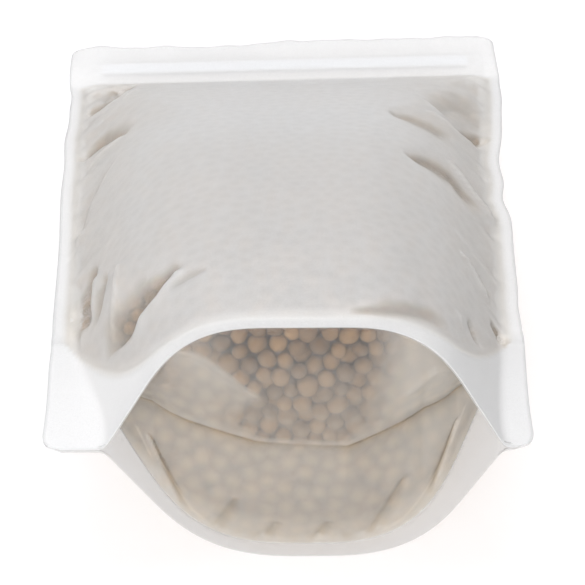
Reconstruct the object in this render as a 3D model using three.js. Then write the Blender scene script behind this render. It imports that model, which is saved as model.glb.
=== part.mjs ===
// Stand-up zip pouch of frosted film, full of round kibble, lying on its back panel.
// Millimetres. X runs across the pouch, +Y from the bottom gusset to the zip, +Z up from the surface.
// A point of the film is named by u, its place across the flat blank from the centre line,
// and v, its distance up the blank from the bottom edge.
import * as THREE from "three";

// Film blank
const POUCH_WIDTH = 230;
const POUCH_LENGTH = 350;
const GUSSET_DEPTH = 65;
const FILM = 0.2;
const CLEARANCE = 0.3;
const CORNER_RADIUS = 8;

// Seals
const SIDE_SEAL = 6;
const BOTTOM_SEAL = 6;
const SEAL_CURVE_POWER = 3.5;

// Press-to-close zip
const ZIP_DROP = 25;
const ZIP_ABOVE_FILL = 10;
const ZIP_BAND = 8;
const ZIP_BASE = 0.4;
const ZIP_RIB_WIDTH = 1;
const ZIP_RIB_HEIGHT = 1.6;
const ZIP_LIP = 0.7;
const ZIP_END_SPACE = 12;

// Heights of the filled pouch above the surface it lies on
const ARCH_HEIGHT = 105;
const EAR_HEIGHT = 54.5;
const FLAP_HEIGHT = 5.5;
const FLAP_TILT = 5.7;
const FLAP_HALF_GAP = 0.4;

// How the filled pouch tapers from its bottom to its zip
const FRONT_FALL_POWER = 1.65;
const SIDE_FALL_POWER = 1.3;
const BACK_LIFT_LENGTH = 87;
const SIDE_PUCKER = 0.007;
const CREST_SHIFT = 12;
const CREST_SHIFT_START = 70;
const CREST_SHIFT_STOP = 42;

// Cross-sections. Each half starts flat at the side edge, turns up over the ramp, climbs over the
// steep stretch and levels out over the ease. They are given at the bottom edge, then above the
// gusset, and at lengths below the shoulder, where the filled body ends under the zip.
const EAR_FLAT_LEFT = 21;
const EAR_FLAT_RIGHT = 9;
const EDGE_SECTION = { ramp: 5, steep: 25, ease: 58 };
const BODY_SECTION = { aboveGusset: 10, ramp: 5, steep: 15, ease: 80 };
const NECK_SECTION = { belowShoulder: 122, ramp: 5, steep: 12, ease: 68 };
const END_SECTION = { belowShoulder: 32, ramp: 5, steep: 4, ease: 32 };
const ZIP_SECTION = { belowShoulder: 4, ramp: 2, steep: 2, ease: 8 };

// Shares of the room beside the ramp that the back panel's easiest fall takes
const EASY_STEEP = 0.25;
const EASY_EASE = 0.75;

// Gusset membrane between the two bottom seals
const BULGE_SHARE = 0.36;
const TUCK_SHARE = 0.42;
const BULGE_EDGE = 18;
const TUCK_EDGE = 88;

// Kibble
const FILL_STOP = 6;
const FILL_SIDE_SPACE = 8;

// Fineness of the surfaces
const SECTION_STEPS = 160;
const SOLVE_STEPS = 28;
const INNER_COLUMNS = 8;
const FILLED_ROWS = 10;
const MEMBRANE_ROWS = 10;
const LINE_STEPS = 350;

const FILM_LOOK = { color: 0xe9e9ea, roughness: 0.6, metalness: 0, transparent: true, opacity: 0.55 };
const ZIP_LOOK = { color: 0xf2f2f3, roughness: 0.45, metalness: 0 };
const KIBBLE_LOOK = { color: 0x8a6340, roughness: 0.9, metalness: 0 };

const HALF_WIDTH = POUCH_WIDTH / 2;
const ZIP_LINE = POUCH_LENGTH - ZIP_DROP;
const SHOULDER = ZIP_LINE - ZIP_BAND / 2 - ZIP_ABOVE_FILL;
const FILL_TOP = SHOULDER - FILL_STOP;
const ZIP_HALF_GAP = CLEARANCE * 1.5 + ZIP_BASE + ZIP_RIB_HEIGHT / 2;
const GUSSET_SEAM = 3 * CLEARANCE + 2 * FILM;
const BACK_LIFT_START = SHOULDER - BACK_LIFT_LENGTH;
const BODY_START = GUSSET_DEPTH + BODY_SECTION.aboveGusset;
const STATIONS = [
  { v: 0, ...EDGE_SECTION },
  { v: BODY_START, ...BODY_SECTION },
  ...[NECK_SECTION, END_SECTION, ZIP_SECTION].map((form) => ({ v: SHOULDER - form.belowShoulder, ...form })),
];

function smooth(start, end, value) {
  const share = THREE.MathUtils.clamp((value - start) / (end - start), 0, 1);
  return share * share * (3 - 2 * share);
}

const { lerp, clamp } = THREE.MathUtils;

// Heights along the middle of each panel, and along the side edges where they meet

function halfGap(v) {
  return lerp(ZIP_HALF_GAP, FLAP_HALF_GAP, smooth(ZIP_LINE + ZIP_BAND / 2, POUCH_LENGTH, v));
}

function taper(v, low, high, power) {
  return low + (high - low) * (1 - clamp(v / SHOULDER, 0, 1) ** power);
}

function frontHeight(v) {
  return taper(v, FLAP_HEIGHT + halfGap(v), ARCH_HEIGHT, FRONT_FALL_POWER);
}

function sideHeight(v) {
  return taper(v, FLAP_HEIGHT, EAR_HEIGHT, SIDE_FALL_POWER);
}

function backHeight(v) {
  return FILM + (FLAP_HEIGHT - halfGap(v) - FILM) * smooth(BACK_LIFT_START, SHOULDER, v);
}

// Distance between the inner faces of the two panels at the side seal
function seamGap(v) {
  return lerp(GUSSET_SEAM, CLEARANCE, smooth(GUSSET_DEPTH, GUSSET_DEPTH + CORNER_RADIUS, v));
}

function flapLift(u, v) {
  return ((FLAP_TILT * u) / POUCH_WIDTH) * smooth(BACK_LIFT_START, SHOULDER, v);
}

function crest(v) {
  return CREST_SHIFT * (1 - smooth(CREST_SHIFT_START, SHOULDER - CREST_SHIFT_STOP, v));
}

// A line of film that follows the given heights keeps its length,
// so its Y is found from the top edge down
function lineAlong(height, shrink = 0) {
  const step = POUCH_LENGTH / LINE_STEPS;
  const places = [0];
  for (let k = LINE_STEPS; k > 0; k--) {
    const drop = (height(k * step) - height((k - 1) * step)) / step;
    places.unshift(places[0] - step * Math.sqrt(1 - drop * drop) * (1 - shrink));
  }
  return (v) => sample(places, POUCH_LENGTH, v);
}

function sample(values, span, place) {
  const at = clamp(place / span, 0, 1) * (values.length - 1);
  const low = Math.min(Math.floor(at), values.length - 2);
  return lerp(values[low], values[low + 1], at - low);
}

const sideLine = lineAlong(sideHeight, SIDE_PUCKER);

// Cross-sections

function earFlat(v, side) {
  const ear = side < 0 ? EAR_FLAT_LEFT : EAR_FLAT_RIGHT;
  return lerp(ear, SIDE_SEAL, smooth(0, BODY_START, v));
}

function sectionForm(v, side) {
  const from = STATIONS.findLast((station) => station.v <= v);
  const to = STATIONS.find((station) => station.v > v) ?? from;
  const share = from === to ? 0 : smooth(from.v, to.v, v);
  return {
    length: HALF_WIDTH - side * crest(v),
    flat: earFlat(v, side),
    ramp: lerp(from.ramp, to.ramp, share),
    steep: lerp(from.steep, to.steep, share),
    ease: lerp(from.ease, to.ease, share),
  };
}

// Half a section: the largest turn is solved so that the film,
// which doesn't stretch, rises by the given height
function bend({ length, flat, ramp, steep, ease }, rise) {
  const step = length / SECTION_STEPS;
  const shape = [];
  for (let k = 0; k < SECTION_STEPS; k++) {
    const place = (k + 0.5) * step;
    const climb = smooth(flat, flat + ramp, place);
    const level = smooth(flat + ramp + steep, flat + ramp + steep + ease, place);
    shape.push(climb * (1 - level));
  }
  let low = 0;
  let high = Math.PI / 2;
  for (let k = 0; k < SOLVE_STEPS; k++) {
    const turn = (low + high) / 2;
    const height = shape.reduce((sum, part) => sum + Math.sin(turn * part) * step, 0);
    if (height < rise) low = turn;
    else high = turn;
  }
  const across = [0];
  const up = [0];
  for (const part of shape) {
    across.push(across.at(-1) + Math.cos(low * part) * step);
    up.push(up.at(-1) + Math.sin(low * part) * step);
  }
  return { length, across, up, width: across.at(-1), rise: up.at(-1) };
}

function frontSection(v, side) {
  return bend(sectionForm(v, side), frontHeight(v) - sideHeight(v) - seamGap(v) / 2);
}

// The back panel falls as steeply as it must for its edges to meet those of the front panel
function backSection(v, side) {
  const form = sectionForm(v, side);
  const fall = sideHeight(v) - backHeight(v) - seamGap(v) / 2;
  const width = frontSection(v, side).width;
  const room = form.length - form.flat - form.ramp;
  let low = 0;
  let high = 1;
  let section;
  for (let k = 0; k < SOLVE_STEPS; k++) {
    const share = (low + high) / 2;
    const ease = lerp(form.ease / 2, EASY_EASE * room, share);
    section = bend({ ...form, steep: EASY_STEEP * room * share, ease }, fall);
    if (section.width < width) low = share;
    else high = share;
  }
  const fit = width / section.width;
  return { ...section, across: section.across.map((x) => x * fit), width };
}

const FRONT = { section: frontSection, middleLine: lineAlong(frontHeight), up: 1 };
const BACK = { section: backSection, middleLine: lineAlong(backHeight), up: -1 };

function panelPoint(panel, u, v) {
  const side = u <= crest(v) ? -1 : 1;
  const { length, across, up, width, rise } = panel.section(v, side);
  const place = HALF_WIDTH - side * u;
  const climb = sample(up, length, place);
  return new THREE.Vector3(
    crest(v) + side * (width - sample(across, length, place)),
    lerp(sideLine(v), panel.middleLine(v), climb / rise),
    sideHeight(v) + panel.up * (seamGap(v) / 2 + climb) + flapLift(u, v),
  );
}

// Rows and columns shared by every piece, so that facing surfaces stay parallel

function sealHeight(u) {
  const share = Math.min(Math.abs(u) / (HALF_WIDTH - SIDE_SEAL), 1);
  return lerp(BOTTOM_SEAL, GUSSET_DEPTH, share ** SEAL_CURVE_POWER);
}

const CORNER_STEPS = [0, 1 / 3, 2 / 3, 1].map((share) => (share * Math.PI) / 2);
const CORNER_ROWS = CORNER_STEPS.map((angle) => CORNER_RADIUS * (1 - Math.cos(angle)));
const SKIRT_SHARES = [...CORNER_ROWS.map((row) => row / GUSSET_DEPTH), 0.45, 0.72, 1];
const SEAL_ROW = SKIRT_SHARES.length - 1;
const FILL_ROW = SEAL_ROW + FILLED_ROWS;
const TOP_CORNER_ROWS = CORNER_ROWS.map((row) => POUCH_LENGTH - row).reverse();
const TOP_ROWS = [SHOULDER, ZIP_LINE + ZIP_BAND / 2, ...TOP_CORNER_ROWS];
const LAST_ROW = FILL_ROW + TOP_ROWS.length;

function rowPlace(row, u) {
  const seal = sealHeight(u);
  if (row <= SEAL_ROW) return SKIRT_SHARES[row] * seal;
  if (row <= FILL_ROW) return lerp(seal, FILL_TOP, (row - SEAL_ROW) / FILLED_ROWS);
  return TOP_ROWS[row - FILL_ROW - 1];
}

function edgeWidth(v) {
  const depth = Math.max(CORNER_RADIUS - Math.min(v, POUCH_LENGTH - v), 0);
  return HALF_WIDTH - CORNER_RADIUS + Math.sqrt(CORNER_RADIUS ** 2 - depth ** 2);
}

// Columns from a side edge inwards: the edge, the seal's inner line,
// the foot of the filled body, the fill's side
const EDGE_COLUMNS = 3;
const MIDDLE_COLUMN = EDGE_COLUMNS + INNER_COLUMNS;
const LAST_COLUMN = 2 * MIDDLE_COLUMN;

function columnPlace(column, row) {
  const side = column < MIDDLE_COLUMN ? -1 : 1;
  const inwards = side < 0 ? column : LAST_COLUMN - column;
  const v = rowPlace(row, HALF_WIDTH);
  const flat = earFlat(v, side);
  const fillSide = HALF_WIDTH - flat - FILL_SIDE_SPACE;
  const foot = HALF_WIDTH - flat - FILL_SIDE_SPACE / 2;
  const edges = [edgeWidth(v), lerp(edgeWidth(v), foot, SIDE_SEAL / (HALF_WIDTH - foot)), foot];
  const inner = (inwards - EDGE_COLUMNS) / INNER_COLUMNS;
  return side * (inwards < EDGE_COLUMNS ? edges[inwards] : fillSide * (1 - inner));
}

function makeGrid(columns, rows, point) {
  const makeColumn = (_, column) => Array.from({ length: rows }, (_, row) => point(column, row));
  return Array.from({ length: columns }, makeColumn);
}

function panelGrid(panel) {
  return makeGrid(LAST_COLUMN + 1, LAST_ROW + 1, (column, row) => {
    const u = columnPlace(column, row);
    return panelPoint(panel, u, rowPlace(row, u));
  });
}

// Points moved along the grid's own normals, which point to the side that columns cross rows gives
function offset(grid, distance) {
  const columns = grid.length;
  const rows = grid[0].length;
  return makeGrid(columns, rows, (column, row) => {
    const across = new THREE.Vector3().subVectors(
      grid[Math.min(column + 1, columns - 1)][row],
      grid[Math.max(column - 1, 0)][row],
    );
    const along = new THREE.Vector3().subVectors(
      grid[column][Math.min(row + 1, rows - 1)],
      grid[column][Math.max(row - 1, 0)],
    );
    return across.cross(along).setLength(distance).add(grid[column][row]);
  });
}

// Closed surfaces

function geometryOf(points, triangles) {
  const geometry = new THREE.BufferGeometry();
  geometry.setAttribute("position", new THREE.Float32BufferAttribute(points.flatMap((p) => p.toArray()), 3));
  geometry.setIndex(triangles.flat());
  geometry.computeVertexNormals();
  return geometry;
}

// Two triangles of a four-cornered patch, split from its first corner or else from its second
function patch([a, b, c, d], fromFirst = true) {
  return fromFirst ? [[a, b, c], [a, c, d]] : [[b, c, d], [b, d, a]];
}

// A sheet with a thickness: an upper and a lower grid joined round their border. Patches from the row
// where the sheet turns back are split the other way, to match the piece that lies against them.
function sheetGeometry(upper, lower, turnRow = Infinity) {
  const rows = upper[0].length;
  const columns = upper.length;
  const count = rows * columns;
  const at = (column, row) => column * rows + row;
  const triangles = [];
  const border = [];
  for (let column = 0; column < columns - 1; column++) {
    for (let row = 0; row < rows - 1; row++) {
      const corners = [at(column, row), at(column + 1, row), at(column + 1, row + 1), at(column, row + 1)];
      for (const triangle of patch(corners, row < turnRow)) {
        triangles.push(triangle, triangle.map((corner) => corner + count).reverse());
      }
    }
  }
  for (let column = 0; column < columns - 1; column++) border.push(at(column, 0));
  for (let row = 0; row < rows - 1; row++) border.push(at(columns - 1, row));
  for (let column = columns - 1; column > 0; column--) border.push(at(column, rows - 1));
  for (let row = rows - 1; row > 0; row--) border.push(at(0, row));
  border.forEach((corner, index) => {
    const next = border[(index + 1) % border.length];
    triangles.push(...patch([corner, corner + count, next + count, next]));
  });
  return geometryOf([...upper.flat(), ...lower.flat()], triangles);
}

// A solid through closed loops of points. A loop's first points run out along the front and the same
// number run back below them, and each end is capped by patches between these and a flat rest.
// Patches from the point where the loops turn back are split the other way, to match their neighbours.
function loftGeometry(loops, turnPoint) {
  const size = loops[0].length;
  const triangles = [];
  for (let loop = 0; loop < loops.length - 1; loop++) {
    for (let k = 0; k < size; k++) {
      const next = (k + 1) % size;
      const [here, there] = [loop * size, (loop + 1) * size];
      triangles.push(...patch([here + k, there + k, there + next, here + next], k < turnPoint));
    }
  }
  for (const [loop, first] of [[loops[0], true], [loops.at(-1), false]]) {
    const start = first ? 0 : (loops.length - 1) * size;
    for (const triangle of capTriangles(loop, turnPoint)) {
      const placed = triangle.map((corner) => start + corner);
      triangles.push(first ? placed : placed.reverse());
    }
  }
  return geometryOf(loops.flat(), triangles);
}

function capTriangles(loop, turnPoint) {
  const below = (k) => 2 * turnPoint - 1 - k;
  const triangles = [];
  for (let k = 0; k < turnPoint - 1; k++) triangles.push(...patch([k, k + 1, below(k + 1), below(k)]));
  const rest = [below(0), ...loop.keys().filter((k) => k > below(0)), 0];
  const outline = rest.map((k) => new THREE.Vector2(loop[k].y, loop[k].z));
  for (const corners of THREE.ShapeUtils.triangulateShape(outline, [])) {
    const area = THREE.ShapeUtils.area(corners.map((corner) => outline[corner]));
    const placed = corners.map((corner) => rest[corner]);
    triangles.push(area < 0 ? placed : placed.reverse());
  }
  return triangles;
}

// Pieces

const frontInner = panelGrid(FRONT);
const backInner = panelGrid(BACK);

function frontPanel() {
  return sheetGeometry(offset(frontInner, FILM), frontInner);
}

function backPanel() {
  return sheetGeometry(backInner, offset(backInner, -FILM));
}

// The gusset runs up the front skirt, across between the two seals and down the back skirt. Its membrane
// bulges outwards over the kibble, and stays tucked in as a fold towards the ears.
function membranePoint(front, back, u, share) {
  const seal = sealHeight(u);
  const chord = front.distanceTo(back);
  const film = 2 * (GUSSET_DEPTH - seal);
  const depth = Math.sqrt(Math.max(film * film - chord * chord, 0)) / 2;
  const tucked = smooth(BULGE_EDGE, TUCK_EDGE, Math.abs(u));
  const reach = depth * lerp(-BULGE_SHARE, TUCK_SHARE, tucked) * Math.sin(share * Math.PI);
  const slope = sideHeight(seal + 1) - sideHeight(seal);
  return new THREE.Vector3(0, reach, reach * slope * tucked).add(front.clone().lerp(back, share));
}

function gussetGrid() {
  const front = offset(frontInner, -CLEARANCE);
  const back = offset(backInner, CLEARANCE);
  const rows = 2 * SEAL_ROW + MEMBRANE_ROWS;
  return makeGrid(LAST_COLUMN + 1, rows + 1, (column, row) => {
    if (row <= SEAL_ROW) return front[column][row];
    if (rows - row <= SEAL_ROW) return back[column][rows - row];
    const u = columnPlace(column, SEAL_ROW);
    const share = (row - SEAL_ROW) / MEMBRANE_ROWS;
    return membranePoint(front[column][SEAL_ROW], back[column][SEAL_ROW], u, share);
  });
}

const gussetInner = gussetGrid();

function bottomGusset() {
  return sheetGeometry(gussetInner, offset(gussetInner, -FILM), SEAL_ROW + MEMBRANE_ROWS);
}

function kibbleFill() {
  const front = offset(frontInner, -CLEARANCE);
  const back = offset(backInner, CLEARANCE);
  const membrane = offset(gussetInner, 2 * CLEARANCE);
  const loops = [];
  for (let column = EDGE_COLUMNS; column <= LAST_COLUMN - EDGE_COLUMNS; column++) {
    loops.push([
      ...front[column].slice(SEAL_ROW + 1, FILL_ROW + 1),
      ...back[column].slice(SEAL_ROW + 1, FILL_ROW + 1).reverse(),
      ...membrane[column].slice(SEAL_ROW + 1, SEAL_ROW + MEMBRANE_ROWS).reverse(),
    ]);
  }
  return loftGeometry(loops, FILLED_ROWS);
}

// Zip tracks, extruded along the zip line. The profile's x is along the pouch and its y is up.

const ZIP_LENGTH = POUCH_WIDTH - 2 * (SIDE_SEAL + ZIP_END_SPACE);

function trackGeometry(profile) {
  const shape = new THREE.Shape(profile.map(([x, y]) => new THREE.Vector2(x, y)));
  const geometry = new THREE.ExtrudeGeometry(shape, { depth: ZIP_LENGTH, bevelEnabled: false });
  return geometry.translate(0, 0, -ZIP_LENGTH / 2);
}

function ribTrack() {
  const band = ZIP_BAND / 2;
  const rib = ZIP_RIB_WIDTH / 2;
  const tip = ZIP_BASE + ZIP_RIB_HEIGHT;
  return trackGeometry([
    [-band, 0], [band, 0], [band, ZIP_BASE], [rib, ZIP_BASE],
    [rib, tip], [-rib, tip], [-rib, ZIP_BASE], [-band, ZIP_BASE],
  ]);
}

function channelTrack() {
  const band = ZIP_BAND / 2;
  const inner = ZIP_RIB_WIDTH / 2 + CLEARANCE;
  const outer = inner + ZIP_LIP;
  const lip = -ZIP_BASE - ZIP_RIB_HEIGHT;
  return trackGeometry([
    [-band, 0], [-band, -ZIP_BASE], [-outer, -ZIP_BASE], [-outer, lip], [-inner, lip], [-inner, -ZIP_BASE],
    [inner, -ZIP_BASE], [inner, lip], [outer, lip], [outer, -ZIP_BASE], [band, -ZIP_BASE], [band, 0],
  ]);
}

function placeTrack(mesh, height) {
  mesh.rotation.set(Math.PI / 2, Math.PI / 2, 0);
  const holder = new THREE.Group();
  holder.position.set(0, FRONT.middleLine(ZIP_LINE), FLAP_HEIGHT + height);
  holder.rotation.y = -Math.atan2(FLAP_TILT, POUCH_WIDTH);
  holder.add(mesh);
  return holder;
}

function piece(name, geometry, look) {
  const mesh = new THREE.Mesh(geometry, new THREE.MeshStandardMaterial(look));
  mesh.name = name;
  return mesh;
}

const pouch = new THREE.Group();
pouch.add(
  piece("front_panel", frontPanel(), FILM_LOOK),
  piece("back_panel", backPanel(), FILM_LOOK),
  piece("bottom_gusset", bottomGusset(), FILM_LOOK),
  piece("kibble_fill", kibbleFill(), KIBBLE_LOOK),
  placeTrack(piece("zip_channel_track", channelTrack(), ZIP_LOOK), ZIP_HALF_GAP - CLEARANCE),
  placeTrack(piece("zip_rib_track", ribTrack(), ZIP_LOOK), CLEARANCE - ZIP_HALF_GAP),
);

// The origin is under the middle of the pouch, on the surface it lies on
const box = new THREE.Box3().setFromObject(pouch, true);
const middle = box.getCenter(new THREE.Vector3());
pouch.position.set(-middle.x, -middle.y, -box.min.z);

export default pouch;
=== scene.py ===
"""Stand-up zip pouch of frosted film, full of round kibble, lying on its back panel.

The film is named by u, the place across the flat blank from its centre line, and v, the distance up
the blank from its bottom edge, both in millimetres. Meshes are made in millimetres, in the frame of
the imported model, and turned into metres when they become Blender objects.
"""
import math
from collections import namedtuple

import bmesh
import bpy
import numpy as np
from mathutils import Matrix, Vector
from mathutils.kdtree import KDTree


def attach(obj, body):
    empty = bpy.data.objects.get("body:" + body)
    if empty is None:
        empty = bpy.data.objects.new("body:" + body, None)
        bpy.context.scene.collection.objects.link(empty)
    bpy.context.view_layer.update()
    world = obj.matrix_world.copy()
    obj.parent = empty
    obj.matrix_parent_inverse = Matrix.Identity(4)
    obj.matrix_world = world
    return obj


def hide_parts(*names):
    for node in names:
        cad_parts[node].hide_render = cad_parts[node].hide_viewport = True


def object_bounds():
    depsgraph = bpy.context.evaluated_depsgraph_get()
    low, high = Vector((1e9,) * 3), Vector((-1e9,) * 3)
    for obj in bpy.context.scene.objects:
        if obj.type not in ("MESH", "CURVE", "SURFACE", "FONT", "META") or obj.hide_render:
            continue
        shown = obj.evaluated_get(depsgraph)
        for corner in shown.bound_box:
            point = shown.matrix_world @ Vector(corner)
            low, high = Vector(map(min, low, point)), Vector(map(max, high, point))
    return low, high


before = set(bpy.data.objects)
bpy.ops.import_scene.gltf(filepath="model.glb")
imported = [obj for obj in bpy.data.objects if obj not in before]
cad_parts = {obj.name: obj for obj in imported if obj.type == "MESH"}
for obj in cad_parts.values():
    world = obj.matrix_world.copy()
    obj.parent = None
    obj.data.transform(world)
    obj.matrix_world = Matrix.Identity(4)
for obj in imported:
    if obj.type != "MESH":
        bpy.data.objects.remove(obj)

cad_low, cad_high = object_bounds()
MILLIMETRES = 1000.0
TOP_EDGE_Y = cad_high.y * MILLIMETRES

# Film blank and seals
POUCH_WIDTH = 230.0
POUCH_LENGTH = 350.0
GUSSET_DEPTH = 65.0
FILM = 0.2
CLEARANCE = 0.3
CORNER_RADIUS = 8.0
SIDE_SEAL = 6.0
BOTTOM_SEAL = 6.0
SEAL_CURVE_POWER = 3.5

# Press-to-close zip
ZIP_DROP = 25.0
ZIP_ABOVE_FILL = 10.0
ZIP_BAND = 8.0
ZIP_BASE = 0.4
ZIP_RIB_HEIGHT = 1.6

# Heights of the filled pouch above the floor
ARCH_HEIGHT = 105.0
EAR_HEIGHT = 54.5
FLAP_HEIGHT = 5.5
FLAP_TILT = 5.7
FLAP_HALF_GAP = 0.4

# How the filled pouch tapers from its bottom to its zip
FRONT_FALL_POWER = 1.65
SIDE_FALL_POWER = 1.3
BACK_LIFT_LENGTH = 87.0
SIDE_PUCKER = 0.007
CREST_SHIFT = 12.0
CREST_SHIFT_START = 70.0
CREST_SHIFT_STOP = 42.0

# Half cross-sections: flat at the side edge, then a ramp, a steep climb and an ease to level
EAR_FLAT_LEFT = 21.0
EAR_FLAT_RIGHT = 9.0
BODY_ABOVE_GUSSET = 10.0
EDGE_SECTION = (5.0, 25.0, 58.0)
BODY_SECTION = (5.0, 15.0, 80.0)
NECK_SECTION = (5.0, 12.0, 68.0)
END_SECTION = (5.0, 4.0, 32.0)
ZIP_SECTION = (2.0, 2.0, 8.0)
NECK_DROP = 122.0
END_DROP = 32.0
ZIP_SECTION_DROP = 4.0
EASY_STEEP = 0.25
EASY_EASE = 0.75

HALF_WIDTH = POUCH_WIDTH / 2
ZIP_LINE = POUCH_LENGTH - ZIP_DROP
SHOULDER = ZIP_LINE - ZIP_BAND / 2 - ZIP_ABOVE_FILL
ZIP_HALF_GAP = CLEARANCE * 1.5 + ZIP_BASE + ZIP_RIB_HEIGHT / 2
GUSSET_SEAM = 3 * CLEARANCE + 2 * FILM
BACK_LIFT_START = SHOULDER - BACK_LIFT_LENGTH
BODY_START = GUSSET_DEPTH + BODY_ABOVE_GUSSET
STATION_DROPS = np.array([NECK_DROP, END_DROP, ZIP_SECTION_DROP])
STATION_PLACES = np.concatenate([[0.0, BODY_START], SHOULDER - STATION_DROPS])
STATIONS = np.array([EDGE_SECTION, BODY_SECTION, NECK_SECTION, END_SECTION, ZIP_SECTION])

# Fineness of the section tables
TABLE_ROWS = 176
SECTION_STEPS = 160
SOLVE_STEPS = 28
LINE_STEPS = 350


def lerp(start, end, share):
    return start + (end - start) * share


def smooth(start, end, value):
    share = np.clip((value - start) / (end - start), 0.0, 1.0)
    return share * share * (3.0 - 2.0 * share)


def half_gap(v):
    return lerp(ZIP_HALF_GAP, FLAP_HALF_GAP, smooth(ZIP_LINE + ZIP_BAND / 2, POUCH_LENGTH, v))


def taper(v, low, high, power):
    return low + (high - low) * (1.0 - np.clip(v / SHOULDER, 0.0, 1.0) ** power)


def front_height(v):
    return taper(v, FLAP_HEIGHT + half_gap(v), ARCH_HEIGHT, FRONT_FALL_POWER)


def side_height(v):
    return taper(v, FLAP_HEIGHT, EAR_HEIGHT, SIDE_FALL_POWER)


def back_height(v):
    return FILM + (FLAP_HEIGHT - half_gap(v) - FILM) * smooth(BACK_LIFT_START, SHOULDER, v)


def seam_gap(v):
    """Distance between the inner faces of the two panels at the side seal."""
    return lerp(GUSSET_SEAM, CLEARANCE, smooth(GUSSET_DEPTH, GUSSET_DEPTH + CORNER_RADIUS, v))


def flap_lift(u, v):
    return FLAP_TILT * u / POUCH_WIDTH * smooth(BACK_LIFT_START, SHOULDER, v)


def crest(v):
    return CREST_SHIFT * (1.0 - smooth(CREST_SHIFT_START, SHOULDER - CREST_SHIFT_STOP, v))


def seal_height(u):
    """The curved bottom seal, which joins the gusset to each panel below it."""
    share = np.minimum(np.abs(u) / (HALF_WIDTH - SIDE_SEAL), 1.0)
    return lerp(BOTTOM_SEAL, GUSSET_DEPTH, share**SEAL_CURVE_POWER)


def edge_width(v):
    depth = np.maximum(CORNER_RADIUS - np.minimum(v, POUCH_LENGTH - v), 0.0)
    return HALF_WIDTH - CORNER_RADIUS + np.sqrt(CORNER_RADIUS**2 - depth**2)


def line_along(height, shrink=0.0):
    """Y of a line of film that follows the heights and keeps its length, from the top edge down."""
    places = np.linspace(0.0, POUCH_LENGTH, LINE_STEPS + 1)
    step = POUCH_LENGTH / LINE_STEPS
    slope = np.diff(height(places)) / step
    run = step * np.sqrt(1.0 - slope**2) * (1.0 - shrink)
    line = TOP_EDGE_Y - np.append(np.cumsum(run[::-1])[::-1], 0.0)
    return lambda v: np.interp(v, places, line)


def section_form(v, side):
    """Length, flat, ramp, steep and ease of the half sections at the places v."""
    start = np.searchsorted(STATION_PLACES, v, side="right") - 1
    end = np.minimum(start + 1, len(STATIONS) - 1)
    span = np.maximum(STATION_PLACES[end] - STATION_PLACES[start], 1.0)
    share = smooth(0.0, 1.0, (v - STATION_PLACES[start]) / span)
    ramp, steep, ease = lerp(STATIONS[start], STATIONS[end], share[:, None]).T
    ear = EAR_FLAT_LEFT if side < 0 else EAR_FLAT_RIGHT
    flat = lerp(ear, SIDE_SEAL, smooth(0.0, BODY_START, v))
    return HALF_WIDTH - side * crest(v), flat, ramp, steep, ease


def bend(form, rise):
    """Half sections of film that doesn't stretch: their largest turn is solved for the given rise."""
    length, flat, ramp, steep, ease = (part[:, None] for part in form)
    place = length * (np.arange(SECTION_STEPS) + 0.5) / SECTION_STEPS
    level = flat + ramp + steep
    shape = smooth(flat, flat + ramp, place) * (1.0 - smooth(level, level + ease, place))
    step = length / SECTION_STEPS
    low = np.zeros(len(rise))
    high = np.full(len(rise), math.pi / 2)
    for _ in range(SOLVE_STEPS):
        turn = (low + high) / 2
        short = (np.sin(turn[:, None] * shape) * step).sum(axis=1) < rise
        low = np.where(short, turn, low)
        high = np.where(short, high, turn)
    angle = low[:, None] * shape
    start = np.zeros((len(rise), 1))
    across = np.hstack([start, np.cumsum(np.cos(angle) * step, axis=1)])
    up = np.hstack([start, np.cumsum(np.sin(angle) * step, axis=1)])
    return across, up


def back_bend(form, fall, width):
    """The back panel falls as steeply as it must for its edges to meet those of the front panel."""
    length, flat, ramp, _, ease = form
    room = length - flat - ramp
    low = np.zeros(len(fall))
    high = np.ones(len(fall))
    for _ in range(SOLVE_STEPS):
        share = (low + high) / 2
        tried = (length, flat, ramp, EASY_STEEP * room * share, lerp(ease / 2, EASY_EASE * room, share))
        across, up = bend(tried, fall)
        narrow = across[:, -1] < width
        low = np.where(narrow, share, low)
        high = np.where(narrow, high, share)
    return across * (width / across[:, -1])[:, None], up


def table_value(table, row, column):
    """A table's value between its rows and columns."""
    top = np.minimum(row.astype(int), table.shape[0] - 2)
    left = np.minimum(column.astype(int), table.shape[1] - 2)
    down = row - top
    right = column - left
    upper = lerp(table[top, left], table[top, left + 1], right)
    lower = lerp(table[top + 1, left], table[top + 1, left + 1], right)
    return lerp(upper, lower, down)


class Panel:
    """The inner face of one panel of the filled pouch, before its folds."""

    def __init__(self, height, up):
        self.up = up
        self.middle_line = line_along(height)
        self.side_line = line_along(side_height, SIDE_PUCKER)
        self.tables = {}
        v = np.linspace(0.0, POUCH_LENGTH, TABLE_ROWS)
        for side in (-1, 1):
            form = section_form(v, side)
            front_rise = front_height(v) - side_height(v) - seam_gap(v) / 2
            section = bend(form, front_rise)
            if up < 0:
                fall = side_height(v) - back_height(v) - seam_gap(v) / 2
                section = back_bend(form, fall, section[0][:, -1])
            self.tables[side] = section

    def point(self, u, v):
        found = []
        row = v / POUCH_LENGTH * (TABLE_ROWS - 1)
        for side, (across, up) in self.tables.items():
            share = np.clip((HALF_WIDTH - side * u) / (HALF_WIDTH - side * crest(v)), 0.0, 1.0)
            column = share * SECTION_STEPS
            last = np.full_like(column, SECTION_STEPS)
            width = table_value(across, row, last)
            climb = table_value(up, row, column)
            x = crest(v) + side * (width - table_value(across, row, column))
            y = lerp(self.side_line(v), self.middle_line(v), climb / table_value(up, row, last))
            z = side_height(v) + self.up * (seam_gap(v) / 2 + climb) + flap_lift(u, v)
            found.append(np.stack([x, y, z], axis=-1))
        left, right = found
        return np.where((u <= crest(v))[..., None], left, right)


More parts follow.
